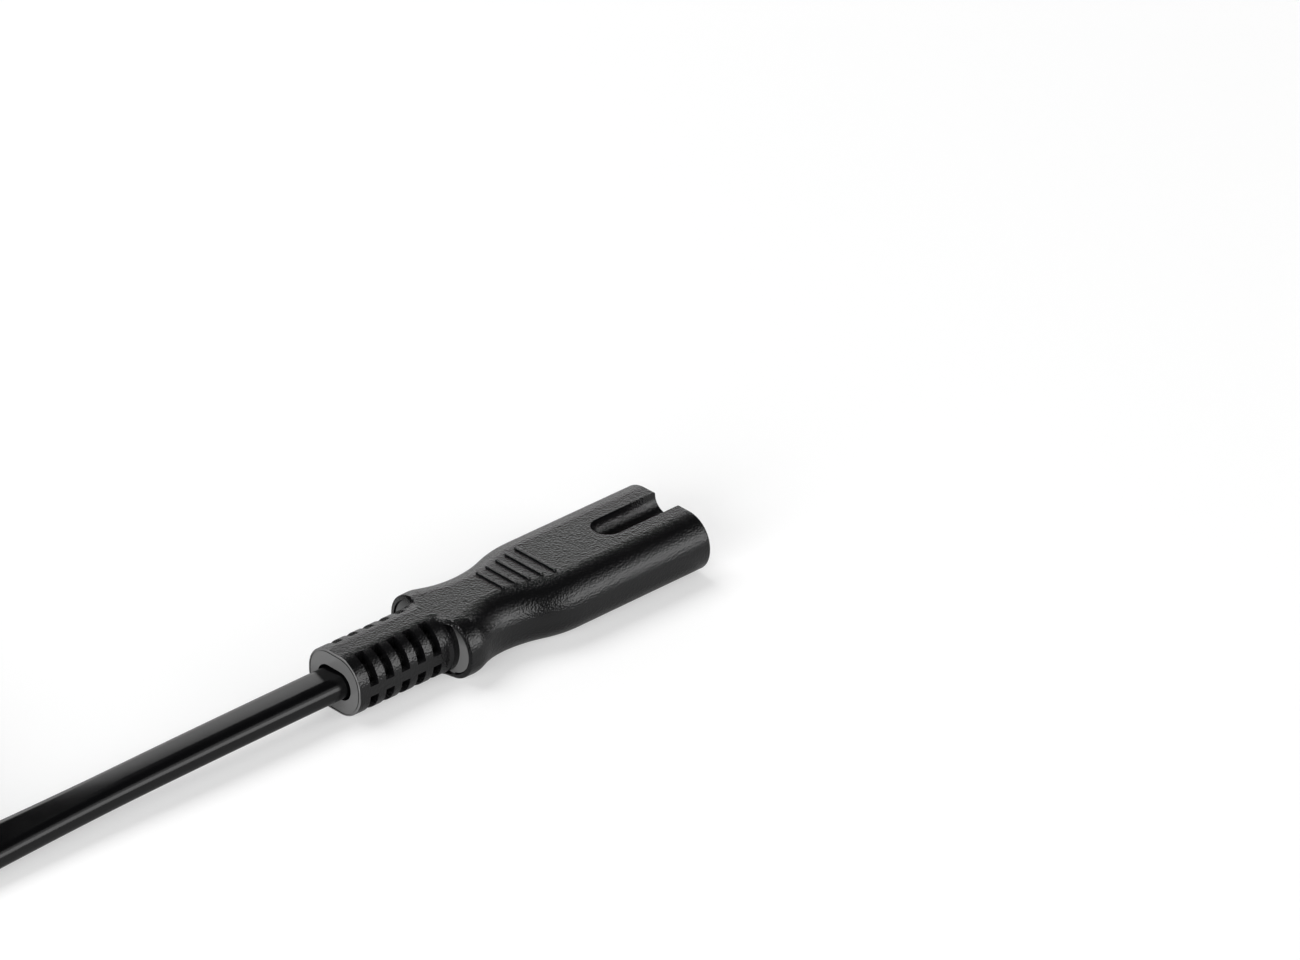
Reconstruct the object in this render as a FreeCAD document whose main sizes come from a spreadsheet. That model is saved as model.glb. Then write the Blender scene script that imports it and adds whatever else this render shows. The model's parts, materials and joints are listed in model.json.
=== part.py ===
import FreeCAD, Part
import math
import os

import Sketcher
from FreeCAD import Placement, Rotation, Vector

# Figure eight power connector: a moulded two-pole appliance connector on a flat twin lead.
# Row frame: +X is the way the nose plugs in, +Z is up, and the origin is at the middle of the
# connector's underside. Millimetres throughout.

DRIVING_SIZES = [
    # connector body
    ("connector_length", 54.5, "nose face to the end of the strain relief"),
    ("nose_width", 15.9, "across the parallel nose"),
    ("nose_height", 8.0, "flat top to flat underside"),
    ("edge_round", 3.9, "rounding of the long edges"),
    ("nose_run", 21.0, "parallel length behind the nose face"),
    ("nose_lip", 0.35, "small rounding round the nose face"),
    ("waist_width", 12.1, "across the finger waist"),
    ("shoulder_run", 10.5, "length over which the nose narrows to the waist"),
    ("wing_width", 14.9, "across the crest of the wings"),
    ("wing_run", 6.2, "length over which the waist widens to the wings"),
    ("wing_bend", 4.0, "radius of the bend from the crest towards the waist"),
    ("ridge_run", 1.3, "wing crest to the ridge behind it"),
    ("ridge_drop", 0.05, "how far the ridge lies inside the wing crest"),
    ("ridge_step", 0.12, "small step in at the sides behind the ridge"),
    ("scoop_run", 1.5, "length of the hollow behind the ridge"),
    ("rim_width", 0.42, "rim that the hollow leaves round the back of a wing"),
    ("root_width", 0.3, "root that it leaves round the strain relief"),
    ("hollow_depth", 0.1, "depth of the hollow's floor in front of the ridge"),
    ("rim_line", 0.14, "width and depth of the parting line inside the rim"),
    # key grooves of the nose
    ("key_width", 4.4, "groove width, over the rib of the inlet"),
    ("key_depth", 2.3, "groove depth"),
    ("key_run", 12.2, "groove length with its round end"),
    ("key_round", 1.95, "rounding of the groove floor"),
    # grip bars on the flat top
    ("bar_count", 5, "raised bars"),
    ("bar_first", 22.05, "nose face to the first bar"),
    ("bar_pitch", 1.84, "bar to bar"),
    ("bar_width", 0.5, "width of a bar"),
    ("bar_longest", 7.5, "length of the bar nearest the nose"),
    ("bar_step", 0.6, "how much shorter each next bar is"),
    ("bar_rise", 0.28, "height of a bar"),
    ("bar_round", 0.16, "rounding of a bar's top"),
    # slotted strain relief of the connector
    ("relief_width", 9.4, "across the strain relief"),
    ("relief_height", 8.0, "height of the strain relief"),
    ("relief_round", 3.7, "corner radius of its section"),
    ("relief_lip", 0.12, "rounding of the end face"),
    ("parting_inset", 0.22, "edge of the end face to the parting line on it"),
    ("parting_width", 0.14, "width and depth of that line"),
    ("slot_width", 1.3, "width of a bending slot"),
    ("slot_pitch", 2.5, "slot to slot"),
    ("slot_first", 1.7, "end face to the first slot"),
    ("slot_count", 5, "slots in each quarter"),
    ("top_land", 3.4, "unslotted strip on the top and underside"),
    ("side_land", 1.35, "unslotted strip on each side"),
    ("slot_wall", 0.8, "wall left between a slot and the cord"),
    ("mouth_gap", 0.3, "gap round the cord at the end face"),
    ("mouth_depth", 1.5, "depth of that gap"),
    # contacts and their carrier
    ("contact_pitch", 8.6, "contact to contact"),
    ("contact_bore", 2.4, "bore of a contact, the size of an inlet pin"),
    ("contact_wall", 0.5, "sheet thickness of a contact"),
    ("contact_set_back", 1.2, "nose face to the front of the contacts"),
    ("contact_bore_run", 13.0, "depth of a contact's bore"),
    ("contact_web", 1.2, "solid length behind the bore"),
    ("contact_slit", 0.5, "width of the spring slits"),
    ("contact_slit_run", 9.0, "length of the spring slits"),
    ("mouth_clearance", 0.3, "how much wider the entry hole is all round than the contact's bore"),
    ("mouth_chamfer", 0.4, "lead-in of the entry hole"),
    ("crimp_width", 2.5, "outside of a crimp barrel"),
    ("crimp_run", 5.6, "length of a crimp barrel"),
    ("crimp_grip", 4.6, "how deep the copper sits in its crimp"),
    ("carrier_round", 2.6, "radius of the carrier round each contact"),
    ("groove_cover", 0.6, "plastic between a key groove and the carrier's bridge"),
    ("carrier_run", 17.5, "length of the carrier"),
    # flat twin cord
    ("cord_width", 5.4, "across the flat cord"),
    ("cord_height", 3.2, "thickness of the flat cord"),
    ("core_width", 2.1, "one insulated core"),
    ("copper_width", 1.1, "bundle of copper strands in a core"),
    ("core_pitch", 2.7, "core to core in the cord"),
    ("sheath_start", 38.0, "nose face to where the sheath is stripped"),
    ("core_straight", 1.6, "straight start and end of a spread core"),
    ("exit_run", 14.75, "how far the cord runs straight out of the connector"),
    ("plug_exit_run", 5.5, "how far the cord runs straight out of the plug"),
    # cord laid up in a hank
    ("hank_end", 82.0, "origin to the near end of the hank"),
    ("hank_straight", 85.0, "straight length of the hank's sides"),
    ("hank_turn", 16.0, "mean radius of the hank's end turns"),
    ("hank_band", 11.0, "width of the bundle of turns"),
    ("hank_height", 11.0, "height of the bundle of turns"),
    ("hank_side", 2.9, "bundle's outer face beyond the connector's centre line"),
    ("hank_round", 2.0, "rounding of the bundle's edges"),
    ("tie_gauge", 0.8, "thickness of the tie"),
    ("tie_width", 10.0, "width of the tie"),
    ("tie_round", 2.4, "corner radius of the tie's loop"),
    ("tie_place", 152.0, "origin to the middle of the tie"),
    # flat two-pin plug
    ("plug_face", 214.0, "origin to the plug's pin face"),
    ("plug_width", 35.3, "across the plug"),
    ("plug_height", 13.7, "thickness of the plug"),
    ("plug_length", 36.0, "length of the plug's body"),
    ("plug_parallel", 11.0, "parallel length behind the pin face"),
    ("plug_neck_width", 14.0, "across the back of the body"),
    ("plug_neck_run", 2.0, "parallel length at the back of the body"),
    ("plug_edge_round", 3.2, "rounding of the plug's long edges"),
    ("plug_lip", 0.5, "rounding round the pin face"),
    ("plug_relief_run", 20.0, "length of the plug's strain relief"),
    ("plug_slot_count", 6, "slots in each quarter of it"),
    ("pin_pitch", 18.6, "pin to pin"),
    ("pin_width", 4.0, "pin diameter"),
    ("pin_length", 19.0, "pin length beyond the face"),
    ("pin_tip", 1.5, "length of the rounded tip"),
    ("pin_neck", 2.8, "metal inside the insulating sleeve"),
    ("sleeve_width", 3.6, "outside of the insulating sleeve"),
    ("sleeve_run", 10.0, "length of the insulating sleeve"),
    ("pin_anchor_run", 8.0, "pin length inside the bridge"),
    ("bridge_wall", 1.7, "wall of the pin bridge round a pin"),
    ("plug_sheath_start", 35.0, "pin face to where the sheath is stripped"),
]

# Free points of the cord outside its hank, chosen by hand: the lead down to the floor and into
# the hank, and the tail from the plug down to the hank's top turn.
LEAD_ROUTE = [(-73.0, 0.0, 1.8), (-103.5, -1.05, 3.55)]
TAIL_ROUTE = [
    (-139.0, 13.0, 18.2),
    (-128.0, 5.5, 16.8),
    (-116.0, -0.3, 14.6),
    (-104.0, -1.05, 12.6),
    (-96.5, -1.0, 10.9),
]
ARC_SHARE = 0.45  # an arc's tangent length, as a share of the shorter run beside it
SCOOP_STATIONS = (0.0, 0.2, 0.45, 0.7, 1.0)  # sections of the scoop, as shares of its run

doc = FreeCAD.newDocument("figure_eight_connector")
sheet = doc.addObject("Spreadsheet::Sheet", "sizes")


class Size:
    """A length together with the spreadsheet formula that it comes from."""

    def __init__(self, value, formula):
        self.value = value
        self.formula = formula

    def __add__(self, other):
        other = as_size(other)
        return Size(self.value + other.value, f"({self.formula} + {other.formula})")

    def __sub__(self, other):
        other = as_size(other)
        return Size(self.value - other.value, f"({self.formula} - {other.formula})")

    def __mul__(self, other):
        other = as_size(other)
        return Size(self.value * other.value, f"({self.formula} * {other.formula})")

    def __truediv__(self, other):
        other = as_size(other)
        return Size(self.value / other.value, f"({self.formula} / {other.formula})")

    def __radd__(self, other):
        return as_size(other) + self

    def __rsub__(self, other):
        return as_size(other) - self

    def __rmul__(self, other):
        return as_size(other) * self

    def __neg__(self):
        return as_size(0.0) - self

    def root(self):
        return Size(math.sqrt(self.value), f"sqrt({self.formula})")

    def at_most(self, other):
        other = as_size(other)
        return Size(min(self.value, other.value), f"min({self.formula}; {other.formula})")


def as_size(number):
    return number if isinstance(number, Size) else Size(float(number), repr(float(number)))


def fill_sheet():
    """Writes the driving sizes into the sheet and returns them by name."""
    named = {}
    for row, (alias, value, note) in enumerate(DRIVING_SIZES, 1):
        sheet.set(f"A{row}", alias)
        sheet.set(f"B{row}", str(value))
        sheet.set(f"C{row}", note)
        sheet.setAlias(f"B{row}", alias)
        named[alias] = Size(float(value), f"sizes.{alias}")
    doc.recompute()
    return named


S = fill_sheet()

NOSE_X = S["connector_length"] / 2
AXIS_Z = S["nose_height"] / 2
EDGE_ROUND = S["edge_round"].at_most(AXIS_Z - S["ridge_step"])
CONTACT_WIDTH = S["contact_bore"] + 2 * S["contact_wall"]
RELIEF_END_X = -NOSE_X
WAIST_X = NOSE_X - S["nose_run"] - S["shoulder_run"]
CREST_X = WAIST_X - S["wing_run"]
RIDGE_X = CREST_X - S["ridge_run"]
RELIEF_START_X = RIDGE_X - S["scoop_run"]


def tie(target, path, size):
    """Ties a property to the sheet."""
    target.setExpression(path, as_size(size).formula)


def new_body(label, x=0.0, y=0.0, z=0.0, turned=False):
    """A body at a place that is tied to the sheet, turned round to face -X if asked."""
    body = doc.addObject("PartDesign::Body", label)
    body.Label = label
    if turned:
        body.Placement = Placement(Vector(), Rotation(Vector(0, 0, 1), 180))
    for path, size in (("x", x), ("y", y), ("z", z)):
        tie(body, f"Placement.Base.{path}", size)
    return body


def origin_plane(body, role):
    return next(f for f in body.Origin.OriginFeatures if f.Role == role)


def flat_point(corner):
    return Vector(as_size(corner[0]).value, as_size(corner[1]).value, 0)


def hold(sketch, geometry, vertex, corner, ways="XY"):
    """Holds a sketch point at coordinates from the sheet."""
    for way, size in zip("XY", corner, strict=True):
        if way in ways:
            size = as_size(size)
            index = sketch.addConstraint(
                Sketcher.Constraint(f"Distance{way}", -1, 1, geometry, vertex, size.value)
            )
            tie(sketch, f"Constraints[{index}]", size)


START, END, CENTRE = 1, 2, 3


def bow(x, y):
    """Centre of an arc that runs counter-clockwise to the next corner."""
    return (x, y, True)


def hollow(x, y):
    """Centre of an arc that runs clockwise to the next corner."""
    return (x, y, False)


def draw(sketch, corners, closed=True):
    """Draws a chain of (x, y) corners. A third entry, bow or hollow, makes the next side an arc."""
    sides = []
    last = len(corners) if closed else len(corners) - 1
    for index in range(last):
        corner, following = corners[index], corners[(index + 1) % len(corners)]
        start, end = flat_point(corner), flat_point(following)
        if len(corner) == 2:
            side = sketch.addGeometry(Part.LineSegment(start, end))
            sides.append((side, START, END))
            hold(sketch, side, START, corner)
            continue
        centre_x, centre_y, counter = corner[2]
        centre = flat_point((centre_x, centre_y))
        first, second = (start, end) if counter else (end, start)
        circle = Part.Circle(centre, Vector(0, 0, 1), (start - centre).Length)
        arc = Part.ArcOfCircle(circle, circle.parameter(first), circle.parameter(second))
        side = sketch.addGeometry(arc)
        sides.append((side, START, END) if counter else (side, END, START))
        hold(sketch, side, sides[-1][1], corner[:2])
        chord = end - start
        ways = "Y" if abs(chord.x) > abs(chord.y) else "X"
        hold(sketch, side, CENTRE, (centre_x, centre_y), ways)
    for index, (side, _, end_vertex) in enumerate(sides):
        if index + 1 < len(sides) or closed:
            following, start_vertex, _ = sides[(index + 1) % len(sides)]
            sketch.addConstraint(
                Sketcher.Constraint("Coincident", side, end_vertex, following, start_vertex)
            )
    if not closed:
        hold(sketch, sides[-1][0], sides[-1][2], corners[-1][:2])


def draw_circle(sketch, centre, radius):
    radius = as_size(radius)
    ring = sketch.addGeometry(Part.Circle(flat_point(centre), Vector(0, 0, 1), radius.value))
    hold(sketch, ring, CENTRE, centre)
    index = sketch.addConstraint(Sketcher.Constraint("Radius", ring, radius.value))
    tie(sketch, f"Constraints[{index}]", radius)


def new_sketch(body, name, role, offset=0.0):
    """A sketch on one of the body's origin planes, moved along the plane's normal."""
    sketch = body.newObject("Sketcher::SketchObject", name)
    sketch.AttachmentSupport = [(origin_plane(body, role), "")]
    sketch.MapMode = "FlatFace"
    tie(sketch, "AttachmentOffset.Base.z", offset)
    return sketch


def feature(body, kind, name, sketch, length=None, **settings):
    """A feature of one sketch. A pad runs along the plane's normal and a pocket against it."""
    made = body.newObject(f"PartDesign::{kind}", name)
    made.Profile = sketch
    if length is not None:
        tie(made, "Length", length)
    for key, value in settings.items():
        setattr(made, key, value)
    doc.recompute()
    return made


def edges_where(shape_feature, test):
    """Names of the edges for which the test holds."""
    return [
        f"Edge{index}"
        for index, edge in enumerate(shape_feature.Shape.Edges, 1)
        if test(edge.BoundBox, edge)
    ]


def round_edges(body, name, shape_feature, radius, test):
    made = body.newObject("PartDesign::Fillet", name)
    made.Base = (shape_feature, edges_where(shape_feature, test))
    tie(made, "Radius", radius)
    doc.recompute()
    return made


def near(value, size, within=1e-4):
    return abs(value - as_size(size).value) < within


def rounded_section(half_width, half_height, radius):
    """Corners of a rounded rectangle about the origin, counter-clockwise."""
    flat_y, flat_z = half_width - radius, half_height - radius
    return [
        (half_width, -flat_z),
        (half_width, flat_z, bow(flat_y, flat_z)),
        (flat_y, half_height),
        (-flat_y, half_height, bow(-flat_y, flat_z)),
        (-half_width, flat_z),
        (-half_width, -flat_z, bow(-flat_y, -flat_z)),
        (-flat_y, -half_height),
        (flat_y, -half_height, bow(flat_y, -flat_z)),
    ]


def bend_radius(run, shift):
    """Radius of the two equal arcs of an S-bend."""
    return (run * run + shift * shift) / (4 * shift)


def round_sided(width, height):
    """Corners of a section with flat top and underside and fully round sides."""
    radius, flat = height / 2, (width - height) / 2
    return [
        (flat, -radius, bow(flat, 0.0)),
        (flat, radius),
        (-flat, radius, bow(-flat, 0.0)),
        (-flat, -radius),
    ]


def add_relief(body, prefix, end_x, start_x, count):
    """The slotted strain relief from start_x back to end_x, with the tunnel's wide mouth."""
    width, height = S["relief_width"] / 2, S["relief_height"] / 2
    sketch = new_sketch(body, f"{prefix}_relief_section", "YZ_Plane", end_x)
    draw(sketch, rounded_section(width, height, S["relief_round"]))
    relief = feature(body, "Pad", f"{prefix}_relief", sketch, start_x - end_x)
    relief = round_edges(
        body,
        f"{prefix}_relief_lip",
        relief,
        S["relief_lip"],
        lambda box, edge: near(box.XMin, end_x) and near(box.XMax, end_x),
    )
    slots = new_sketch(body, f"{prefix}_slot_section", "YZ_Plane", end_x + S["slot_first"])
    land, side, past = S["top_land"] / 2, S["side_land"] / 2, S["relief_width"]
    floor = S["cord_height"] / 2 + S["slot_wall"] - side
    centre_y = S["cord_width"] / 2 + S["slot_wall"] - floor
    for y, z in ((1, 1), (-1, 1), (-1, -1), (1, -1)):
        outside = [(y * past, z * side), (y * past, z * past), (y * land, z * past)]
        above = [(y * land, z * (side + floor)), (y * centre_y, z * (side + floor))]
        beside = (y * (centre_y + floor), z * side)
        centre = hollow(y * centre_y, z * side)
        if y * z > 0:
            draw(slots, [beside, *outside, above[0], (*above[1], centre)])
        else:
            draw(slots, [(*beside, centre), above[1], above[0], *reversed(outside)])
    slot = feature(body, "Pocket", f"{prefix}_slot", slots, S["slot_width"], Reversed=True)
    pattern = body.newObject("PartDesign::LinearPattern", f"{prefix}_slots")
    pattern.Originals = [slot]
    pattern.Direction = (slots, ["N_Axis"])
    tie(pattern, "Occurrences", count)
    tie(pattern, "Length", S["slot_pitch"] * (count - 1))
    body.Tip = pattern
    doc.recompute()
    mouth = new_sketch(body, f"{prefix}_mouth_section", "YZ_Plane", end_x)
    gap = 2 * S["mouth_gap"]
    draw(mouth, round_sided(S["cord_width"] + gap, S["cord_height"] + gap))
    feature(body, "Pocket", f"{prefix}_mouth", mouth, S["mouth_depth"], Reversed=True)


def add_cord_tunnel(body, prefix, end_x, start_x):
    sketch = new_sketch(body, f"{prefix}_tunnel_section", "YZ_Plane", end_x)
    draw(sketch, round_sided(S["cord_width"], S["cord_height"]))
    feature(body, "Pocket", f"{prefix}_tunnel", sketch, start_x - end_x, Reversed=True)


def core_path(side, wide, from_x, bend_x, sheath_x):
    """Path of one core: straight out of its crimp, an S-bend inwards, and into the sheath."""
    outer, inner = wide / 2, S["core_pitch"] / 2
    end_x = sheath_x + S["core_straight"]
    run, shift = bend_x - end_x, outer - inner
    radius = bend_radius(run, shift)
    first, second = (bow, hollow) if side > 0 else (hollow, bow)
    return [
        (from_x, side * outer),
        (bend_x, side * outer, first(bend_x, side * (outer - radius))),
        ((bend_x + end_x) / 2, side * (outer + inner) / 2, second(end_x, side * (inner + radius))),
        (end_x, side * inner),
        (sheath_x, side * inner),
    ]


def add_core_pipe(body, name, kind, path, diameter):
    """A round rod or hole along a core's path, drawn from the crimp backwards."""
    spine = new_sketch(body, f"{name}_path", "XY_Plane")
    draw(spine, path, closed=False)
    section = new_sketch(body, f"{name}_section", "YZ_Plane", path[0][0])
    draw_circle(section, (path[0][1], 0.0), diameter / 2)
    pipe = body.newObject(f"PartDesign::{kind}Pipe", name)
    pipe.Profile = section
    pipe.Spine = spine
    doc.recompute()
    return pipe


CRIMP_END_X = NOSE_X - S["contact_set_back"] - S["contact_bore_run"] - S["contact_web"] - S["crimp_run"]
CORE_BEND_X = CRIMP_END_X - S["core_straight"]
SHEATH_X = NOSE_X - S["sheath_start"]
CONTACT_BACK_X = CRIMP_END_X + S["crimp_run"]
CARRIER_BACK_X = NOSE_X - S["carrier_run"]


def carrier_section():
    """Figure eight outline of the contact carrier: a round about each contact and a bridge."""
    centre, radius = S["contact_pitch"] / 2, S["carrier_round"]
    web = S["nose_height"] / 2 - S["key_depth"] - S["groove_cover"]
    join = centre - (radius * radius - web * web).root()
    return [
        (join, -web, bow(centre, 0.0)),
        (join, web),
        (-join, web, bow(-centre, 0.0)),
        (-join, -web),
    ]


def shell_outline():
    """Plan of the moulded body: parallel nose, finger waist, and wings up to their ridge."""
    nose, waist = S["nose_width"] / 2, S["waist_width"] / 2
    crest, drop = S["wing_width"] / 2, S["ridge_drop"]
    ridge = crest - drop
    nose_back_x = NOSE_X - S["nose_run"]
    shoulder = bend_radius(S["shoulder_run"], nose - waist)
    bends = 2 * bend_radius(S["wing_run"], crest - waist)
    crest_bend = S["wing_bend"]
    waist_bend = bends - crest_bend
    share = crest_bend / bends
    crown = (S["ridge_run"] * S["ridge_run"] + drop * drop) / (2 * drop)
    half_shoulder = ((nose_back_x + WAIST_X) / 2, (nose + waist) / 2)
    wing_join = (CREST_X + share * S["wing_run"], crest - share * (crest - waist))
    far_side = [
        (NOSE_X, nose),
        (nose_back_x, nose, bow(nose_back_x, nose - shoulder)),
        (*half_shoulder, hollow(WAIST_X, waist + shoulder)),
        (WAIST_X, waist, hollow(WAIST_X, waist + waist_bend)),
        (*wing_join, bow(CREST_X, crest - crest_bend)),
        (CREST_X, crest, bow(CREST_X, crest - crown)),
        (RIDGE_X, ridge),
    ]
    near_side = [
        (RIDGE_X, -ridge, bow(CREST_X, crown - crest)),
        (CREST_X, -crest, bow(CREST_X, crest_bend - crest)),
        (wing_join[0], -wing_join[1], hollow(WAIST_X, -waist - waist_bend)),
        (WAIST_X, -waist, hollow(WAIST_X, -waist - shoulder)),
        (half_shoulder[0], -half_shoulder[1], bow(nose_back_x, shoulder - nose)),
        (nose_back_x, -nose),
        (NOSE_X, -nose),
    ]
    return far_side + near_side


def add_scoop(body):
    """The hollow behind the wings, lofted from the ridge down to the strain relief."""
    ridge = (S["wing_width"] / 2 - S["ridge_drop"] - S["ridge_step"], S["nose_height"] / 2, EDGE_ROUND)
    relief = (S["relief_width"] / 2, S["relief_height"] / 2, S["relief_round"])
    sections = []
    for index, back in enumerate(SCOOP_STATIONS):
        share = (1 - back) ** 3
        section = new_sketch(body, f"scoop_section_{index}", "YZ_Plane", RIDGE_X - back * S["scoop_run"])
        draw(section, rounded_section(*(low + share * (high - low) for low, high in zip(relief, ridge))))
        sections.append(section)
    loft = body.newObject("PartDesign::AdditiveLoft", "scoop")
    loft.Profile = sections[0]
    loft.Sections = sections[1:]
    doc.recompute()


def add_wing_hollows(body):
    """A crescent hollow in the back of each wing, between its rim and the root of the strain relief."""
    wing_y = S["wing_width"] / 2 - S["ridge_drop"] - S["ridge_step"] - EDGE_ROUND
    root_y = S["relief_width"] / 2 - S["relief_round"]
    outer = EDGE_ROUND - S["rim_width"]
    inner = S["relief_round"] + S["root_width"]
    apart = wing_y - root_y
    tip_y = ((inner * inner - outer * outer) / apart + wing_y + root_y) / 2
    reach = tip_y - root_y
    tip_z = (inner * inner - reach * reach).root()
    crescents = new_sketch(body, "wing_hollow_section", "YZ_Plane", RELIEF_START_X)
    for y in (1, -1):
        tips = [(y * tip_y, -y * tip_z), (y * tip_y, y * tip_z)]
        draw(crescents, [(*tips[0], bow(y * wing_y, 0.0)), (*tips[1], hollow(y * root_y, 0.0))])
    floor_run = S["scoop_run"] + S["hollow_depth"]
    feature(body, "Pocket", "wing_hollows", crescents, floor_run, Reversed=True)
    line = new_sketch(body, "wing_line_section", "YZ_Plane", RELIEF_START_X)
    inside = outer - S["rim_line"]
    for y in (1, -1):
        ends = [(y * (wing_y + r * 0.2), r * 0.98) for r in (outer, inside)]
        centre = (y * wing_y, 0.0)
        if y > 0:
            low, high = (ends[0][0], -ends[0][1]), ends[0]
        else:
            low, high = ends[0], (ends[0][0], -ends[0][1])
        inner_high = (ends[1][0], ends[1][1] if y > 0 else -ends[1][1])
        inner_low = (ends[1][0], -ends[1][1] if y > 0 else ends[1][1])
        draw(line, [(*low, bow(*centre)), high, (*inner_high, hollow(*centre)), inner_low])
    feature(body, "Pocket", "wing_lines", line, floor_run + S["rim_line"], Reversed=True)


def add_parting_line(body, prefix, end_x):
    """The fine groove round the end face, where the insert of the tool met the mould."""
    ring = new_sketch(body, f"{prefix}_parting_section", "YZ_Plane", end_x)
    for inset in (S["parting_inset"], S["parting_inset"] + S["parting_width"]):
        width, height = S["relief_width"] / 2 - inset, S["relief_height"] / 2 - inset
        draw(ring, rounded_section(width, height, S["relief_round"] - inset))
    feature(body, "Pocket", f"{prefix}_parting_line", ring, S["parting_width"], Reversed=True)


def add_key_grooves(body):
    """The two key grooves of the nose, cut with a round-nosed tool into top and underside."""
    half, top = S["key_width"] / 2, S["nose_height"] / 2
    floor = top - S["key_depth"]
    end_x, past = NOSE_X - S["key_run"] + half, NOSE_X + S["nose_lip"]
    for side, name, start in ((1, "top", top), (-1, "under", -floor)):
        groove = new_sketch(body, f"key_{name}_section", "XY_Plane", start)
        draw(groove, [(end_x, half, bow(end_x, 0.0)), (end_x, -half), (past, -half), (past, half)])
        pocket = feature(body, "Pocket", f"key_{name}", groove, S["key_depth"])
        level = side * floor
        round_edges(
            body,
            f"key_{name}_floor",
            pocket,
            S["key_round"],
            lambda box, edge: near(box.ZMin, level) and near(box.ZMax, level) and not near(box.XMin, NOSE_X),
        )


def add_grip_bars(body):
    """Raised round-ended bars across the flat top, each shorter than the one before."""
    sketch = new_sketch(body, "bar_section", "XY_Plane", S["nose_height"] / 2)
    radius = S["bar_width"] / 2
    for index in range(int(S["bar_count"].value)):
        x = NOSE_X - S["bar_first"] - index * S["bar_pitch"]
        flat = (S["bar_longest"] - index * S["bar_step"] - S["bar_width"]) / 2
        draw(
            sketch,
            [
                (x + radius, -flat),
                (x + radius, flat, bow(x, flat)),
                (x - radius, flat),
                (x - radius, -flat, bow(x, -flat)),
            ],
        )
    bars = feature(body, "Pad", "grip_bars", sketch, S["bar_rise"])
    crown = S["nose_height"] / 2 + S["bar_rise"]
    return round_edges(body, "bar_crowns", bars, S["bar_round"], lambda box, edge: near(box.ZMin, crown))


def connector_shell():
    """The overmoulded body, wings and strain relief in one piece of flexible plastic."""
    body = new_body("connector_shell", z=AXIS_Z)
    plan = new_sketch(body, "shell_plan", "XY_Plane")
    draw(plan, shell_outline())
    block = feature(body, "Pad", "shell_block", plan, S["nose_height"], Midplane=True)
    top = S["nose_height"] / 2

    def long_edge(box, edge):
        level = near(box.ZMin, box.ZMax) and near(abs(box.ZMin), top)
        return level and box.XLength > 1e-3

    rounded = round_edges(body, "long_edges", block, EDGE_ROUND, long_edge)
    round_edges(
        body,
        "nose_lip",
        rounded,
        S["nose_lip"],
        lambda box, edge: near(box.XMin, NOSE_X) and near(box.XMax, NOSE_X),
    )
    add_scoop(body)
    add_relief(body, "shell", RELIEF_END_X, RELIEF_START_X, S["slot_count"])
    add_wing_hollows(body)
    add_parting_line(body, "shell", RELIEF_END_X)
    add_key_grooves(body)
    seat = new_sketch(body, "carrier_seat_section", "YZ_Plane", NOSE_X)
    draw(seat, carrier_section())
    feature(body, "Pocket", "carrier_seat", seat, S["carrier_run"])
    crimps = new_sketch(body, "crimp_section", "YZ_Plane", CARRIER_BACK_X)
    for side in (1, -1):
        draw_circle(crimps, (side * S["contact_pitch"] / 2, 0.0), S["crimp_width"] / 2)
    feature(body, "Pocket", "crimp_seats", crimps, CARRIER_BACK_X - CRIMP_END_X)
    for side, name in ((1, "left"), (-1, "right")):
        path = core_path(side, S["contact_pitch"], CRIMP_END_X, CORE_BEND_X, SHEATH_X)
        add_core_pipe(body, f"core_hole_{name}", "Subtractive", path, S["core_width"])
    add_cord_tunnel(body, "shell", RELIEF_END_X, SHEATH_X)
    add_grip_bars(body)
    return body


def contact_carrier():
    """The hard insert that holds the two contacts, flush with the nose face."""
    body = new_body("contact_carrier", z=AXIS_Z)
    outline = new_sketch(body, "carrier_plan", "YZ_Plane", CARRIER_BACK_X)
    draw(outline, carrier_section())
    feature(body, "Pad", "carrier_block", outline, S["carrier_run"])
    front_x = NOSE_X - S["contact_set_back"]
    mouth = S["contact_bore"] + 2 * S["mouth_clearance"]
    stages = [
        ("mouth", NOSE_X, mouth, S["contact_set_back"]),
        ("seat", front_x, CONTACT_WIDTH, front_x - CONTACT_BACK_X),
        ("crimp", CONTACT_BACK_X, S["crimp_width"], CONTACT_BACK_X - CARRIER_BACK_X),
    ]
    for name, from_x, diameter, depth in stages:
        holes = new_sketch(body, f"carrier_{name}_section", "YZ_Plane", from_x)
        for side in (1, -1):
            draw_circle(holes, (side * S["contact_pitch"] / 2, 0.0), diameter / 2)
        last = feature(body, "Pocket", f"carrier_{name}", holes, depth)

    def mouth_edge(box, edge):
        return near(box.XMin, NOSE_X) and near(box.XMax, NOSE_X) and near(box.ZMax, mouth / 2, 1e-3)

    lead_in = body.newObject("PartDesign::Chamfer", "mouth_lead_in")
    lead_in.Base = (last, edges_where(last, mouth_edge))
    tie(lead_in, "Size", S["mouth_chamfer"])
    doc.recompute()
    return body


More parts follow.
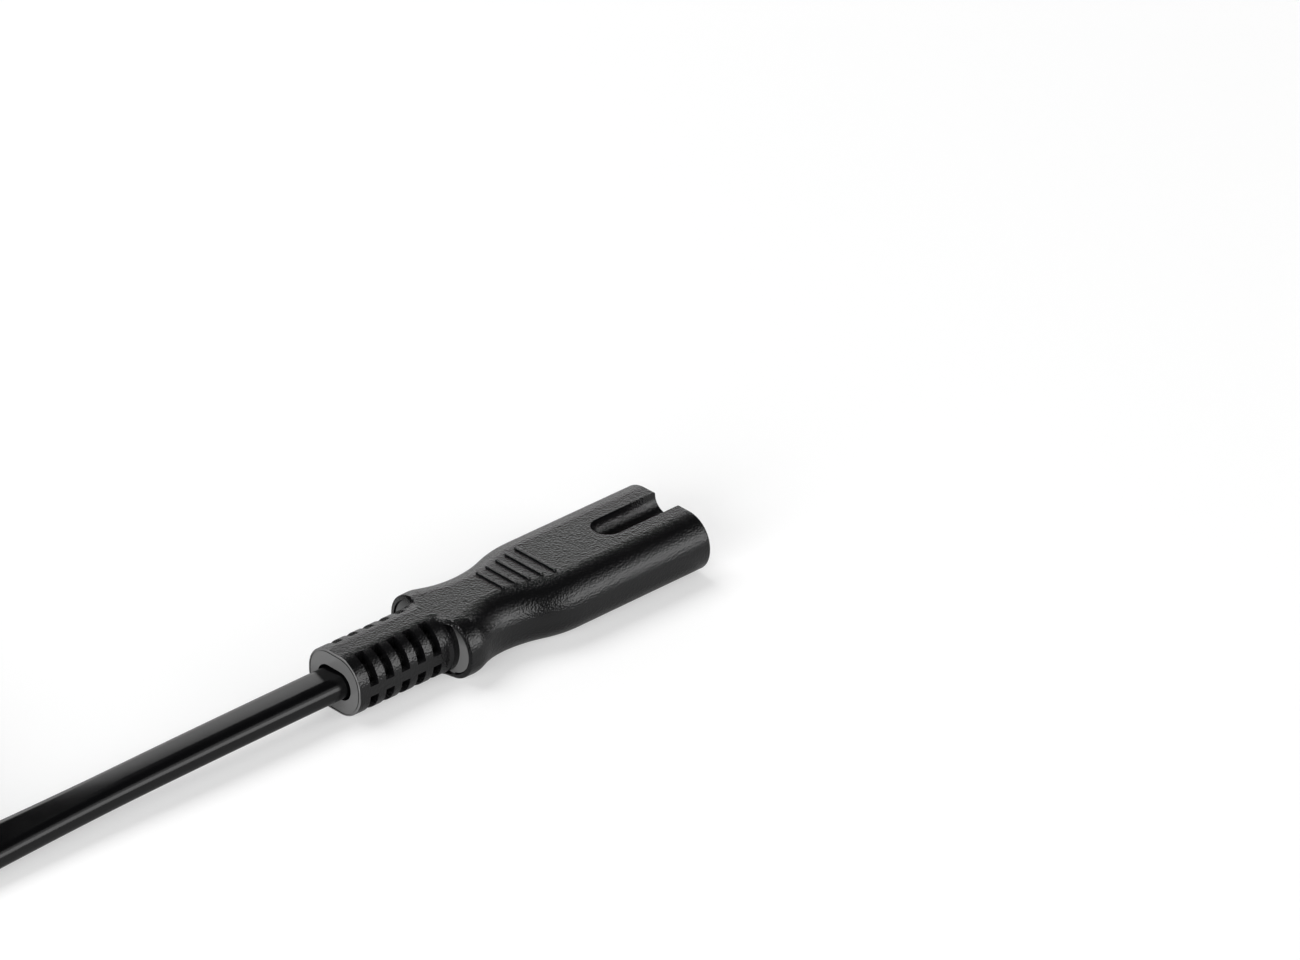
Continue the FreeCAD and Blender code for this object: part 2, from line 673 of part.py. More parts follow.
def contact(label, side):
    """A turned brass socket: slit bore for the inlet pin, web, and crimp barrel for the copper."""
    body = new_body(label, y=side * S["contact_pitch"] / 2, z=AXIS_Z)
    front_x = NOSE_X - S["contact_set_back"]
    bore_x = front_x - S["contact_bore_run"]
    grip_x = CRIMP_END_X + S["crimp_grip"]
    bore, outer = S["contact_bore"] / 2, CONTACT_WIDTH / 2
    crimp, copper = S["crimp_width"] / 2, S["copper_width"] / 2
    profile = new_sketch(body, f"{label}_profile", "XY_Plane")
    draw(
        profile,
        [
            (front_x, bore),
            (front_x, outer),
            (CONTACT_BACK_X, outer),
            (CONTACT_BACK_X, crimp),
            (CRIMP_END_X, crimp),
            (CRIMP_END_X, copper),
            (grip_x, copper),
            (grip_x, 0.0),
            (bore_x, 0.0),
            (bore_x, bore),
        ],
    )
    turned = body.newObject("PartDesign::Revolution", f"{label}_turned")
    turned.Profile = profile
    turned.ReferenceAxis = (profile, ["H_Axis"])
    turned.Angle = 360.0
    doc.recompute()
    slit = new_sketch(body, f"{label}_slit_section", "XY_Plane")
    half, back_x = S["contact_slit"] / 2, front_x - S["contact_slit_run"]
    past = front_x + S["contact_slit"]
    draw(slit, [(back_x, -half), (past, -half), (past, half), (back_x, half)])
    feature(body, "Pocket", f"{label}_slits", slit, CONTACT_WIDTH, Midplane=True)
    return body


def core_insulation(label, path, place):
    body = new_body(label, **place)
    add_core_pipe(body, f"{label}_rod", "Additive", path, S["core_width"])
    add_core_pipe(body, f"{label}_hole", "Subtractive", path, S["copper_width"])
    return body


def core_copper(label, path, grip, place):
    """The copper of one core, from inside its crimp back to the sheath."""
    body = new_body(label, **place)
    start = [(path[0][0] + grip, path[0][1])]
    add_core_pipe(body, f"{label}_rod", "Additive", start + path[1:], S["copper_width"])
    return body


def plug_outline():
    """Plan of the plug: parallel front, an S-bend on each side, and a narrow neck."""
    wide, neck = S["plug_width"] / 2, S["plug_neck_width"] / 2
    bend_x = -S["plug_parallel"]
    neck_x = S["plug_neck_run"] - S["plug_length"]
    radius = bend_radius(bend_x - neck_x, wide - neck)
    middle = ((bend_x + neck_x) / 2, (wide + neck) / 2)
    return [
        (0.0, wide),
        (bend_x, wide, bow(bend_x, wide - radius)),
        (*middle, hollow(neck_x, neck + radius)),
        (neck_x, neck),
        (-S["plug_length"], neck),
        (-S["plug_length"], -neck),
        (neck_x, -neck, hollow(neck_x, -neck - radius)),
        (middle[0], -middle[1], bow(bend_x, radius - wide)),
        (bend_x, -wide),
        (0.0, -wide),
    ]


PLUG_PLACE = {
    "x": -S["plug_face"],
    "y": S["hank_turn"] + S["hank_band"] / 2 - S["hank_side"],
    "z": S["tie_gauge"] + S["hank_height"] + S["plug_height"] / 2,
    "turned": True,
}
PLUG_CRIMP_END_X = -S["pin_anchor_run"] - S["crimp_run"]
PLUG_BEND_X = PLUG_CRIMP_END_X - S["core_straight"] / 2
PLUG_SHEATH_X = -S["plug_sheath_start"]


def bridge_section():
    height = S["pin_width"] + 2 * S["bridge_wall"]
    return round_sided(S["pin_pitch"] + height, height)


def plug_core_path(side):
    return core_path(side, S["pin_pitch"], PLUG_CRIMP_END_X, PLUG_BEND_X, PLUG_SHEATH_X)


def plug_shell():
    """The overmoulded body and strain relief of the flat two-pin plug."""
    body = new_body("plug_shell", **PLUG_PLACE)
    plan = new_sketch(body, "plug_plan", "XY_Plane")
    draw(plan, plug_outline())
    block = feature(body, "Pad", "plug_block", plan, S["plug_height"], Midplane=True)
    top = S["plug_height"] / 2
    rounded = round_edges(
        body,
        "plug_long_edges",
        block,
        S["plug_edge_round"],
        lambda box, edge: near(box.ZMin, box.ZMax) and near(abs(box.ZMin), top) and box.XLength > 1e-3,
    )
    round_edges(
        body,
        "plug_lip",
        rounded,
        S["plug_lip"],
        lambda box, edge: near(box.XMin, 0.0) and near(box.XMax, 0.0),
    )
    add_relief(
        body, "plug", -S["plug_length"] - S["plug_relief_run"], -S["plug_length"], S["plug_slot_count"]
    )
    seat = new_sketch(body, "bridge_seat_section", "YZ_Plane")
    draw(seat, bridge_section())
    feature(body, "Pocket", "bridge_seat", seat, S["pin_anchor_run"])
    crimps = new_sketch(body, "plug_crimp_section", "YZ_Plane", -S["pin_anchor_run"])
    for side in (1, -1):
        draw_circle(crimps, (side * S["pin_pitch"] / 2, 0.0), S["crimp_width"] / 2)
    feature(body, "Pocket", "plug_crimp_seats", crimps, S["crimp_run"])
    for side, name in ((1, "left"), (-1, "right")):
        add_core_pipe(body, f"plug_core_hole_{name}", "Subtractive", plug_core_path(side), S["core_width"])
    add_cord_tunnel(body, "plug", -S["plug_length"] - S["plug_relief_run"], PLUG_SHEATH_X)
    return body


def pin_bridge():
    """The hard bridge that holds the two pins, flush with the plug's face."""
    body = new_body("pin_bridge", **PLUG_PLACE)
    outline = new_sketch(body, "bridge_plan", "YZ_Plane", -S["pin_anchor_run"])
    draw(outline, bridge_section())
    feature(body, "Pad", "bridge_block", outline, S["pin_anchor_run"])
    holes = new_sketch(body, "bridge_hole_section", "YZ_Plane")
    for side in (1, -1):
        draw_circle(holes, (side * S["pin_pitch"] / 2, 0.0), S["pin_width"] / 2)
    feature(body, "Pocket", "bridge_holes", holes, S["pin_anchor_run"])
    return body


def turned_piece(label, side, corners):
    """A piece turned about one pin's axis."""
    body = new_body(label, **(PLUG_PLACE | {"y": PLUG_PLACE["y"] - side * S["pin_pitch"] / 2}))
    profile = new_sketch(body, f"{label}_profile", "XY_Plane")
    draw(profile, corners)
    turned = body.newObject("PartDesign::Revolution", f"{label}_turned")
    turned.Profile = profile
    turned.ReferenceAxis = (profile, ["H_Axis"])
    turned.Angle = 360.0
    doc.recompute()
    return body


def plug_pin(label, side):
    """A nickel-plated pin: crimp barrel, anchor, neck under the sleeve, and round-tipped end."""
    radius, neck, tip = S["pin_width"] / 2, S["pin_neck"] / 2, S["pin_tip"]
    crimp, copper = S["crimp_width"] / 2, S["copper_width"] / 2
    grip_x = PLUG_CRIMP_END_X + S["crimp_grip"]
    return turned_piece(
        label,
        side,
        [
            (PLUG_CRIMP_END_X, copper),
            (grip_x, copper),
            (grip_x, 0.0),
            (S["pin_length"], 0.0),
            (S["pin_length"], radius - tip, bow(S["pin_length"] - tip, radius - tip)),
            (S["pin_length"] - tip, radius),
            (S["sleeve_run"], radius),
            (S["sleeve_run"], neck),
            (0.0, neck),
            (0.0, radius),
            (-S["pin_anchor_run"], radius),
            (-S["pin_anchor_run"], crimp),
            (PLUG_CRIMP_END_X, crimp),
        ],
    )


def pin_sleeve(label, side):
    neck, outer = S["pin_neck"] / 2, S["sleeve_width"] / 2
    corners = [(0.0, neck), (S["sleeve_run"], neck), (S["sleeve_run"], outer), (0.0, outer)]
    return turned_piece(label, side, corners)


def cord_wire(route):
    """Straight runs joined by tangent arcs, and the arcs' radii."""
    points = [Vector(*p) for p in route]
    edges, radii, here = [], [], points[0]
    for before, corner, after in zip(points, points[1:], points[2:], strict=False):
        back, ahead = before - corner, after - corner
        turn = math.pi - back.getAngle(ahead)
        tangent = ARC_SHARE * min(back.Length, ahead.Length)
        radii.append(tangent / math.tan(turn / 2))
        back.normalize()
        ahead.normalize()
        start, end = corner + back * tangent, corner + ahead * tangent
        inward = (back + ahead).normalize()
        middle = corner + inward * (radii[-1] / math.cos(turn / 2) - radii[-1])
        edges.append(Part.LineSegment(here, start).toShape())
        edges.append(Part.Arc(start, middle, end).toShape())
        here = end
    edges.append(Part.LineSegment(here, points[-1]).toShape())
    return Part.Wire(edges), radii


def straight_out(start_x, exit_x, y, z):
    """The two points of a cord's run from inside a moulding straight out of it."""
    return [(as_size(x).value, as_size(y).value, as_size(z).value) for x in (start_x, exit_x)]


def cord_face(start, way):
    """The cord's section at a point, its width level and its plane across the way it runs."""
    across = Vector(0, 0, 1).cross(way).normalize()
    up = way.cross(across).normalize()
    radius = S["cord_height"].value / 2
    flat = (S["cord_width"] - S["cord_height"]).value / 2
    near_low, near_high = start - across * flat - up * radius, start - across * flat + up * radius
    far_low, far_high = start + across * flat - up * radius, start + across * flat + up * radius
    tip = across * (flat + radius)
    return Part.Wire(
        [
            Part.LineSegment(near_low, far_low).toShape(),
            Part.Arc(far_low, start + tip, far_high).toShape(),
            Part.LineSegment(far_high, near_high).toShape(),
            Part.Arc(near_high, start - tip, near_low).toShape(),
        ]
    )


def cord_tube(label, route):
    """The flat cord's sheath along a route that starts inside its moulding, as one plain solid."""
    wire, radii = cord_wire(route)
    way = (Vector(*route[1]) - Vector(*route[0])).normalize()
    shell = Part.BRepOffsetAPI.MakePipeShell(wire)
    shell.setFrenetMode(False)
    shell.add(cord_face(Vector(*route[0]), way))
    shell.build()
    shell.makeSolid()
    tube = doc.addObject("Part::Feature", label)
    tube.Label = label
    tube.Shape = shell.shape()
    tube.Placement = Placement()
    width, height = S["cord_width"].value, S["cord_height"].value
    area = (width - height) * height + math.pi * height * height / 4
    print(
        f"{label}: length {wire.Length:.1f}, radii {[round(r) for r in radii]}, "
        f"volume {tube.Shape.Volume:.1f} against {area * wire.Length:.1f}"
    )
    return tube


HANK_LOW_Z = S["tie_gauge"]
HANK_OUT = S["hank_turn"] + S["hank_band"] / 2
HANK_IN = S["hank_turn"] - S["hank_band"] / 2
HANK_NEAR_X = -S["hank_end"] - HANK_OUT
HANK_FAR_X = HANK_NEAR_X - S["hank_straight"]


def racetrack(radius):
    return [
        (HANK_FAR_X, -radius),
        (HANK_NEAR_X, -radius, bow(HANK_NEAR_X, 0.0)),
        (HANK_NEAR_X, radius),
        (HANK_FAR_X, radius, bow(HANK_FAR_X, 0.0)),
    ]


def cord_hank(lead, tail):
    """Outer shape of the laid-up turns, with the seats where the lead and the tail join it."""
    body = new_body("hank_block", y=PLUG_PLACE["y"], z=HANK_LOW_Z)
    plan = new_sketch(body, "hank_plan", "XY_Plane")
    draw(plan, racetrack(HANK_OUT))
    draw(plan, racetrack(HANK_IN))
    block = feature(body, "Pad", "hank_ring", plan, S["hank_height"])
    round_edges(body, "hank_edges", block, S["hank_round"], lambda box, edge: box.ZLength < 1e-4)
    joined = doc.addObject("Part::MultiFuse", "hank_ends")
    joined.Shapes = [lead, tail]
    hank = doc.addObject("Part::Cut", "cord_hank")
    hank.Base = body
    hank.Tool = joined
    hank.Label = "cord_hank"
    return hank


def cord_tie():
    """The strap round the middle of the hank."""
    body = new_body("cord_tie", y=PLUG_PLACE["y"], z=HANK_LOW_Z + S["hank_height"] / 2)
    sketch = new_sketch(body, "tie_section", "YZ_Plane", -S["tie_place"] - S["tie_width"] / 2)
    inner_y, inner_z = HANK_OUT, S["hank_height"] / 2
    gauge = S["tie_gauge"]
    draw(sketch, rounded_section(inner_y + gauge, inner_z + gauge, S["tie_round"]))
    draw(sketch, rounded_section(inner_y, inner_z, S["tie_round"] - gauge))
    feature(body, "Pad", "tie_loop", sketch, S["tie_width"])
    return body


def make_nodes():
    """Every piece of the product, by the name of its node."""
    nodes = [connector_shell(), contact_carrier(), contact("contact_left", 1), contact("contact_right", -1)]
    connector_place = {"z": AXIS_Z}
    for side, name in ((1, "brown"), (-1, "blue")):
        path = core_path(side, S["contact_pitch"], CRIMP_END_X, CORE_BEND_X, SHEATH_X)
        nodes.append(core_insulation(f"{name}_core", path, connector_place))
        nodes.append(core_copper(f"{name}_copper", path, S["crimp_grip"], connector_place))
    nodes += [plug_shell(), pin_bridge()]
    for side, hand, name in ((1, "left", "brown"), (-1, "right", "blue")):
        nodes.append(plug_pin(f"plug_pin_{hand}", side))
        nodes.append(pin_sleeve(f"pin_sleeve_{hand}", side))
        path = plug_core_path(side)
        nodes.append(core_insulation(f"plug_{name}_core", path, PLUG_PLACE))
        nodes.append(core_copper(f"plug_{name}_copper", path, S["crimp_grip"], PLUG_PLACE))
    exit_run = straight_out(SHEATH_X, RELIEF_END_X - S["exit_run"], 0.0, AXIS_Z)
    lead = cord_tube("cord_lead", exit_run + LEAD_ROUTE)
    sheath_x = PLUG_PLACE["x"] - PLUG_SHEATH_X
    relief_x = PLUG_PLACE["x"] + S["plug_length"] + S["plug_relief_run"]
    plug_exit = straight_out(sheath_x, relief_x + S["plug_exit_run"], PLUG_PLACE["y"], PLUG_PLACE["z"])
    tail = cord_tube("cord_tail", plug_exit + TAIL_ROUTE)
    return [*nodes, lead, tail, cord_hank(lead, tail), cord_tie()]


def check_and_export(nodes):
    """Stops on a failed object or a bad solid, then writes one STEP file per piece."""
    doc.recompute()
    failed = [o.Name for o in doc.Objects if {"Invalid", "Error"} & set(o.State)]
    if failed:
        raise RuntimeError(f"failed objects: {failed}")
    for node in nodes:
        shape = node.Shape
        if shape.isNull() or not shape.isValid() or shape.Volume <= 0:
            raise RuntimeError(f"bad solid: {node.Label}")
    os.makedirs("parts", exist_ok=True)
    for node in nodes:
        node.Shape.exportStep(f"parts/{node.Label}.step")
        print(f"{node.Label}: {len(node.Shape.Solids)} solid, {node.Shape.Volume:.1f} mm3")


check_and_export(make_nodes())
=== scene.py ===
import json
import math

import bmesh
import bpy
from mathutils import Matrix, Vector


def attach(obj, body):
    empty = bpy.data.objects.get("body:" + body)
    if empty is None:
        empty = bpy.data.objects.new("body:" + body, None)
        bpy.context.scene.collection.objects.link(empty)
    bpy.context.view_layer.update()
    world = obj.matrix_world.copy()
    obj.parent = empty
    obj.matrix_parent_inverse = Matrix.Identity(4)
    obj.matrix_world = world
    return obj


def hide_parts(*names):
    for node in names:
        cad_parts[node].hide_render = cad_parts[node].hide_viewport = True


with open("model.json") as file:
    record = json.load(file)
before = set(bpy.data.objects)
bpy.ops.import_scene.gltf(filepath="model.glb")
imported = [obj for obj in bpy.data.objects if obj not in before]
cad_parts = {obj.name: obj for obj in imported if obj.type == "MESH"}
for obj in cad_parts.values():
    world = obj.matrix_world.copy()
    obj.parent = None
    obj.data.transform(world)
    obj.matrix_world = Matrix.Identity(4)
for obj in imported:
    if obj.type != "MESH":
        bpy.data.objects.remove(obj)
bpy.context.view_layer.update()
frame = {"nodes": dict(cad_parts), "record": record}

NODES = frame["nodes"]
MM = 0.001


def linear(colour):
    """An sRGB hex colour as the linear colour that Blender works in."""
    shares = [int(colour[i : i + 2], 16) / 255 for i in (1, 3, 5)]
    return (*(s / 12.92 if s <= 0.04045 else ((s + 0.055) / 1.055) ** 2.4 for s in shares), 1.0)


# Nodes of the finishes. Sizes of marks are in millimetres.


def per_metre(size):
    """Scale of a pattern whose marks are this far apart."""
    return 1000 / size


def bands_per_metre(size):
    """Scale of a wave texture, which draws a band every 0.314 units at a scale of 1."""
    return 314 / size


def add_node(tree, kind, settings=None, sockets=None):
    """Adds a node with its settings, and its sockets set to a value or linked to an output."""
    made = tree.nodes.new(kind)
    for name, value in (settings or {}).items():
        setattr(made, name, value)
    for key, value in (sockets or {}).items():
        if isinstance(value, bpy.types.NodeSocket):
            tree.links.new(value, made.inputs[key])
        else:
            made.inputs[key].default_value = value
    return made


def new_material(name):
    """An empty node material, its tree and its output."""
    material = bpy.data.materials.new(name)
    material.use_nodes = True
    tree = material.node_tree
    tree.nodes.clear()
    return material, tree, add_node(tree, "ShaderNodeOutputMaterial")


def place_on_object(tree):
    """Where on the object each point lies, in metres."""
    return add_node(tree, "ShaderNodeTexCoord").outputs["Object"]


def stretched_along_x(tree, place, share):
    """The place with X shortened to this share, so that marks come out longer that way."""
    sockets = {"Vector": place, "Scale": (share, 1.0, 1.0)}
    return add_node(tree, "ShaderNodeMapping", sockets=sockets).outputs["Vector"]


def noise(tree, place, size, detail, roughness=0.5):
    """Cloudy noise."""
    sockets = {"Vector": place, "Scale": per_metre(size), "Detail": detail, "Roughness": roughness}
    return add_node(tree, "ShaderNodeTexNoise", sockets=sockets).outputs["Fac"]


def bands(tree, place, direction, size, distortion):
    """Soft parallel bands."""
    settings = {"wave_type": "BANDS", "bands_direction": direction}
    scale = bands_per_metre(size)
    sockets = {"Vector": place, "Scale": scale, "Distortion": distortion, "Detail": 2.0}
    return add_node(tree, "ShaderNodeTexWave", settings, sockets).outputs["Fac"]


def maths(tree, operation, *values):
    """The result of one sum on values or outputs."""
    sockets = dict(enumerate(values))
    return add_node(tree, "ShaderNodeMath", {"operation": operation}, sockets).outputs["Value"]


def from_to(tree, value, source, target):
    """A value brought from one range to another, and kept inside that one."""
    sockets = {
        "Value": value,
        "From Min": source[0],
        "From Max": source[1],
        "To Min": target[0],
        "To Max": target[1],
    }
    return add_node(tree, "ShaderNodeMapRange", sockets=sockets).outputs["Result"]


def blend(tree, share, first, second):
    """One hex colour where the share is 0 and the other where it is 1."""
    sockets = {"Factor": share, "A": linear(first), "B": linear(second)}
    return add_node(tree, "ShaderNodeMix", {"data_type": "RGBA"}, sockets).outputs["Result"]


def relief(tree, height, strength, depth):
    """The normal of a skin with marks of this depth."""
    sockets = {"Height": height, "Strength": strength, "Distance": depth * MM}
    return add_node(tree, "ShaderNodeBump", sockets=sockets).outputs["Normal"]


def coat(tree, output, sockets):
    """Ends a material in the principled shader."""
    shader = add_node(tree, "ShaderNodeBsdfPrincipled", sockets=sockets)
    tree.links.new(shader.outputs["BSDF"], output.inputs["Surface"])


# Finishes

# where the polished insert of the connector's tool has shaped it, and where the faces are painted
# pale for the light that they catch from behind
WING_BACK_X, END_FACE_X = -0.01165, -0.02725


def at_smooth_and_painted_pale(tree, place):
    """1 on the end face and in the hollow backs of the wings where they face rearwards, and 0
    elsewhere: the skin is smooth there, and its colour is painted pale for the light that these
    rear faces catch. In the hollows it fades out towards the tops of the wings, which paints shade
    there.
    """
    split = add_node(tree, "ShaderNodeSeparateXYZ", sockets={"Vector": place}).outputs
    normal = add_node(tree, "ShaderNodeNewGeometry").outputs["Normal"]
    facing = add_node(tree, "ShaderNodeSeparateXYZ", sockets={"Vector": normal}).outputs["X"]
    rearward = from_to(tree, facing, (-0.3, -0.42), (0.0, 1.0))
    at_wings = maths(tree, "COMPARE", split["X"], WING_BACK_X, 0.06 * MM)
    # painted shade: the pale paint fades out towards the tops of the wings
    below_tops = from_to(tree, split["Z"], (7.2 * MM, 5.0 * MM), (0.0, 1.0))
    at_wings = maths(tree, "MULTIPLY", at_wings, below_tops)
    at_end = maths(tree, "COMPARE", split["X"], END_FACE_X, 0.2 * MM)
    return maths(tree, "MULTIPLY", rearward, maths(tree, "MAXIMUM", at_wings, at_end))


def spark_eroded_pvc():
    """Soft black PVC, moulded in a spark-eroded tool: a fine sandy grain that scatters the light.

    The insert that shapes the connector's end face and the hollow backs of its wings was polished,
    so the skin there is smooth; there it is also painted pale grey, as painted light for the glow
    that these rear faces catch.
    """
    material, tree, output = new_material("spark_eroded_pvc")
    place = place_on_object(tree)
    # one mask for the smooth polished skin and for the painted light on the rear faces
    smooth_and_painted_pale = at_smooth_and_painted_pale(tree, place)
    # the grain of the tool is 0.15 mm from grain to grain, drawn at 0.25 mm so that it shows
    grain = add_node(
        tree,
        "ShaderNodeTexVoronoi",
        {"feature": "SMOOTH_F1"},
        {"Vector": place, "Scale": per_metre(0.25), "Smoothness": 0.3, "Randomness": 1.0},
    ).outputs["Distance"]
    height = maths(tree, "MULTIPLY", grain, from_to(tree, smooth_and_painted_pale, (0.0, 1.0), (1.0, 0.08)))
    # handling leaves the skin a little shinier here and there
    wear = noise(tree, place, 9.0, 2.0)
    sockets = {
        # painted light: the faces that look back along the cord are painted pale grey in place of
        # the light they catch
        "Base Color": blend(tree, smooth_and_painted_pale, "#0a0a0b", "#676767"),
        "Roughness": from_to(tree, wear, (0.3, 0.7), (0.21, 0.26)),
        "IOR": 1.46,
        "Normal": relief(tree, height, 1.0, 0.04),
    }
    coat(tree, output, sockets)
    return material


def extruded_sheath_pvc():
    """Flexible black PVC, extruded through a polished die: a soft gloss and faint ripples."""
    material, tree, output = new_material("extruded_sheath_pvc")
    ripples = noise(tree, place_on_object(tree), 2.5, 3.0, 0.55)
    sockets = {
        "Base Color": linear("#070708"),
        "Roughness": from_to(tree, ripples, (0.3, 0.7), (0.17, 0.21)),
        "IOR": 1.39,
        "Normal": relief(tree, ripples, 0.3, 0.02),
    }
    coat(tree, output, sockets)
    return material


def glass_filled_nylon():
    """Hard black nylon with short glass fibre, moulded.

    It is satin, with pale specks where fibre ends lie at the skin.
    """
    material, tree, output = new_material("glass_filled_nylon")
    # the fibres are 0.3 mm long, so the flow marks that they leave are a little wider
    flow = noise(tree, place_on_object(tree), 0.5, 4.0, 0.6)
    specks = from_to(tree, flow, (0.66, 0.74), (0.0, 0.5))
    sockets = {
        "Base Color": blend(tree, specks, "#161617", "#2b2b2c"),
        "Roughness": from_to(tree, flow, (0.3, 0.7), (0.34, 0.46)),
        "IOR": 1.5,
        "Normal": relief(tree, flow, 0.4, 0.02),
    }
    coat(tree, output, sockets)
    return material


def turned_brass():
    """Brass, turned and slit: fine rings round the sleeve where the tool went along it."""
    material, tree, output = new_material("turned_brass")
    place = place_on_object(tree)
    # the tool moved 0.1 mm a turn, drawn at 0.25 mm so that it shows
    rings = bands(tree, place, "X", 0.25, 0.4)
    tarnish = noise(tree, place, 2.0, 3.0)
    sockets = {
        "Base Color": blend(tree, tarnish, "#d3b878", "#b99c60"),
        "Metallic": 1.0,
        "Roughness": from_to(tree, rings, (0.0, 1.0), (0.24, 0.38)),
        "Normal": relief(tree, rings, 0.3, 0.01),
    }
    coat(tree, output, sockets)
    return material


def core_pvc(name, colour, shade):
    """Coloured PVC, extruded round one copper core: glossy, with faint streaks in its colour."""
    material, tree, output = new_material(name)
    streaks = noise(tree, stretched_along_x(tree, place_on_object(tree), 0.15), 0.6, 2.0)
    sockets = {
        "Base Color": blend(tree, streaks, colour, shade),
        "Roughness": from_to(tree, streaks, (0.3, 0.7), (0.25, 0.34)),
        "IOR": 1.53,
    }
    coat(tree, output, sockets)
    return material


def stranded_copper():
    """Bright copper wires, drawn and laid up in one bundle: fine slanting ridges."""
    material, tree, output = new_material("stranded_copper")
    # the wires are 0.2 mm thick, drawn at 0.35 mm so that they show
    wires = bands(tree, place_on_object(tree), "DIAGONAL", 0.35, 0.2)
    sockets = {
        "Base Color": blend(tree, wires, "#a66a45", "#dda27c"),
        "Metallic": 1.0,
        "Roughness": from_to(tree, wires, (0.0, 1.0), (0.36, 0.24)),
        "Normal": relief(tree, wires, 0.8, 0.06),
    }
    coat(tree, output, sockets)
    return material


def rubbed_nickel():
    """Nickel plate on brass pins, polished.

    Fine rub marks run along each pin, from the sockets that it has been in.
    """
    material, tree, output = new_material("rubbed_nickel_plate")
    rubs = noise(tree, stretched_along_x(tree, place_on_object(tree), 0.06), 0.3, 3.0, 0.6)
    sockets = {
        "Base Color": blend(tree, rubs, "#dcdad4", "#cfccc3"),
        "Metallic": 1.0,
        "Roughness": from_to(tree, rubs, (0.35, 0.7), (0.14, 0.3)),
        "Normal": relief(tree, rubs, 0.15, 0.01),
    }
    coat(tree, output, sockets)
    return material


def knitted_strap():
    """Black nylon strap, knitted and brushed: a dull pile of small loops in rows across it."""
    material, tree, output = new_material("knitted_nylon_strap")
    place = place_on_object(tree)
    loops = add_node(
        tree,
        "ShaderNodeTexVoronoi",
        {"feature": "F1"},
        {"Vector": place, "Scale": per_metre(0.45), "Randomness": 0.8},
    ).outputs["Distance"]
    pile = maths(tree, "SUBTRACT", bands(tree, place, "X", 0.7, 1.5), loops)
    sockets = {
        "Base Color": blend(tree, loops, "#29292b", "#141415"),
        "Roughness": from_to(tree, loops, (0.0, 1.0), (0.78, 0.95)),
        "IOR": 1.5,
        "Sheen Weight": 0.25,
        "Sheen Roughness": 0.5,
        "Normal": relief(tree, pile, 0.8, 0.12),
    }
    coat(tree, output, sockets)
    return material


FINISHES = {
    "black_pvc": spark_eroded_pvc(),
    "cord_sheath": extruded_sheath_pvc(),
    "black_hard_plastic": glass_filled_nylon(),
    "contact_brass": turned_brass(),
    "brown_insulation": core_pvc("brown_core_pvc", "#7c5335", "#6b452b"),
    "blue_insulation": core_pvc("blue_core_pvc", "#306fae", "#2a629c"),
    "copper_strands": stranded_copper(),
    "plated_pins": rubbed_nickel(),
    "tie_strap": knitted_strap(),
}


def paint(piece, slot):
    """Gives a piece the finish of its slot in place of any other."""
    piece.data.materials.clear()
    piece.data.materials.append(FINISHES[slot])


def add_object(name, data):
    """Puts new data into the scene, unmoved."""
    made = bpy.data.objects.new(name, data)
    bpy.context.scene.collection.objects.link(made)
    return made


def mesh_from(name, shape):
    """The finished shape as a mesh."""
    data = bpy.data.meshes.new(name)
    shape.to_mesh(data)
    shape.free()
    return data


# The cord

# from the connector down to the table and the hank, close to the route of the CAD's solids
LEAD_ROUTE = [
    (-0.01075, 0.0, 0.004),
    (-0.042, 0.0, 0.004),
    (-0.073, 0.0008, 0.0028),
    (-0.1035, -0.00105, 0.00355),
]
# from the last turn of the hank over the others and into the plug
TAIL_ROUTE = [
    (-0.0965, -0.001, 0.0109),
    (-0.104, -0.00105, 0.0126),
    (-0.116, -0.0003, 0.0146),
    (-0.128, 0.0055, 0.0168),
    (-0.139, 0.013, 0.0182),
    (-0.1525, 0.0186, 0.01865),
    (-0.179, 0.0186, 0.01865),
]
# centres of the hank's round ends, its middle line, and where its straight sides have their points
HANK_NEAR, HANK_FAR, HANK_Y = -0.1035, -0.1885, 0.0186
SIDE_NEAR, SIDE_FAR = -0.1318, -0.1602
# radii of the outer, middle and inner lane of turns
OUTER, MIDDLE, INNER = 0.01965, 0.016, 0.01235
# the two layers, with the cord on its edge, and where it climbs to the second and leaves it
LOW, HIGH = 0.00355, 0.00905
CLIMB, LEAVE = 0.0063, 0.0098
# radii at the four points of an end turn where the cord steps from one lane to the next
OUTER_TO_MIDDLE = (OUTER, 0.0187, 0.0172, MIDDLE)
MIDDLE_TO_INNER = (MIDDLE, 0.01505, 0.0135, INNER)
INNER_TO_MIDDLE = (INNER, 0.0133, 0.0148, MIDDLE)
MIDDLE_TO_OUTER = (MIDDLE, 0.01695, 0.01845, OUTER)
# the four points of an end turn, which are the corners of an octagon round it
END_ANGLES = (-67.5, -22.5, 22.5, 67.5)
CORNER_REACH = math.cos(math.radians(22.5))
# tilt where the cord lies flat, and rolled by 3 degrees away from the eye
FLAT = math.radians(93)
# the tail lies down again over this many of its points
TWISTING_POINTS = 3
# half the flat middle of the cord's section and the radius of its round sides, for 5.4 by 3.2 mm
HALF_FLAT, ROUND_SIDE = 1.1 * MM, 1.6 * MM


def end_turn(centre_x, way, radii, levels):
    """Points round one end of the hank, from side to side, one for each level given."""
    points = []
    for angle, radius, level in zip(END_ANGLES, radii, levels):
        reach = radius / CORNER_REACH
        x = centre_x + way * reach * math.cos(math.radians(angle))
        points.append((x, HANK_Y + way * -reach * math.sin(math.radians(angle)), level))
    return points


def straight_side(side, radius, levels, way):
    """Two points on a straight side of the hank.

    The side is +1 or -1 along Y, and the way is the run's direction along X.
    """
    y = HANK_Y + side * radius
    xs = (SIDE_FAR, SIDE_NEAR) if way > 0 else (SIDE_NEAR, SIDE_FAR)
    return [(x, y, level) for x, level in zip(xs, levels, strict=True)]


